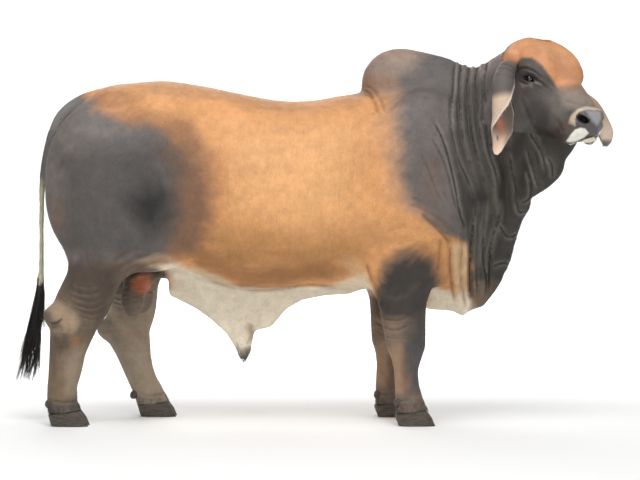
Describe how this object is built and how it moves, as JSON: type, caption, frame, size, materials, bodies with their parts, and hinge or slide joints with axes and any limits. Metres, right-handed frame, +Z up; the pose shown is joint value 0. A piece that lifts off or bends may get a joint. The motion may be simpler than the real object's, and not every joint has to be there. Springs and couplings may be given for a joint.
{
  "type": "brahman cattle",
  "caption": "Standing humped bull, life-size and still, with head turned to its right, long drooping ears, folded dewlap and tail switch.",
  "frame": {"origin": "centre of the bounding box, on the floor under the soles", "axes": "+X forward along the body, +Y to the animal's left, +Z up"},
  "size_m": [2.6644, 0.8008, 1.694],
  "materials": {
    "tan_coat": "short flat tan-orange coat over loose hide",
    "grey_coat": "short flat slate-grey coat",
    "dark_coat": "short flat dark grey coat over pleated hide",
    "cream_coat": "short pale cream coat",
    "bare_skin": "bare wrinkled skin, grey with rust-red",
    "switch_hair": "long coarse black hair",
    "hoof_horn": "dull dark horn",
    "eye": "wet dark eye"
  },
  "bodies": {
    "root": {"barrel": "tan_coat", "shoulders": "tan_coat", "hindquarters": "grey_coat", "thigh_right": "grey_coat", "thigh_left": "grey_coat", "hump": "grey_coat", "neck": "dark_coat", "dewlap": "dark_coat", "head": "dark_coat", "sheath": "cream_coat", "scrotum": "bare_skin", "tail_dock": "dark_coat", "tail_shaft": "cream_coat", "tail_switch": "switch_hair", "hindleg_right_gaskin": "dark_coat", "hindleg_right_cannon": "dark_coat", "hindleg_right_claw_right": "hoof_horn", "hindleg_right_dewclaw_right": "hoof_horn", "hindleg_right_claw_left": "hoof_horn", "hindleg_right_dewclaw_left": "hoof_horn", "hindleg_left_gaskin": "dark_coat", "hindleg_left_cannon": "dark_coat", "hindleg_left_claw_right": "hoof_horn", "hindleg_left_dewclaw_right": "hoof_horn", "hindleg_left_claw_left": "hoof_horn", "hindleg_left_dewclaw_left": "hoof_horn", "foreleg_right_forearm": "dark_coat", "foreleg_right_cannon": "dark_coat", "foreleg_right_claw_right": "hoof_horn", "foreleg_right_dewclaw_right": "hoof_horn", "foreleg_right_claw_left": "hoof_horn", "foreleg_right_dewclaw_left": "hoof_horn", "foreleg_left_forearm": "dark_coat", "foreleg_left_cannon": "dark_coat", "foreleg_left_claw_right": "hoof_horn", "foreleg_left_dewclaw_right": "hoof_horn", "foreleg_left_claw_left": "hoof_horn", "foreleg_left_dewclaw_left": "hoof_horn", "ear_right": "cream_coat", "ear_left": "cream_coat", "eye_right": "eye", "eye_left": "eye"}
  },
  "joints": []
}
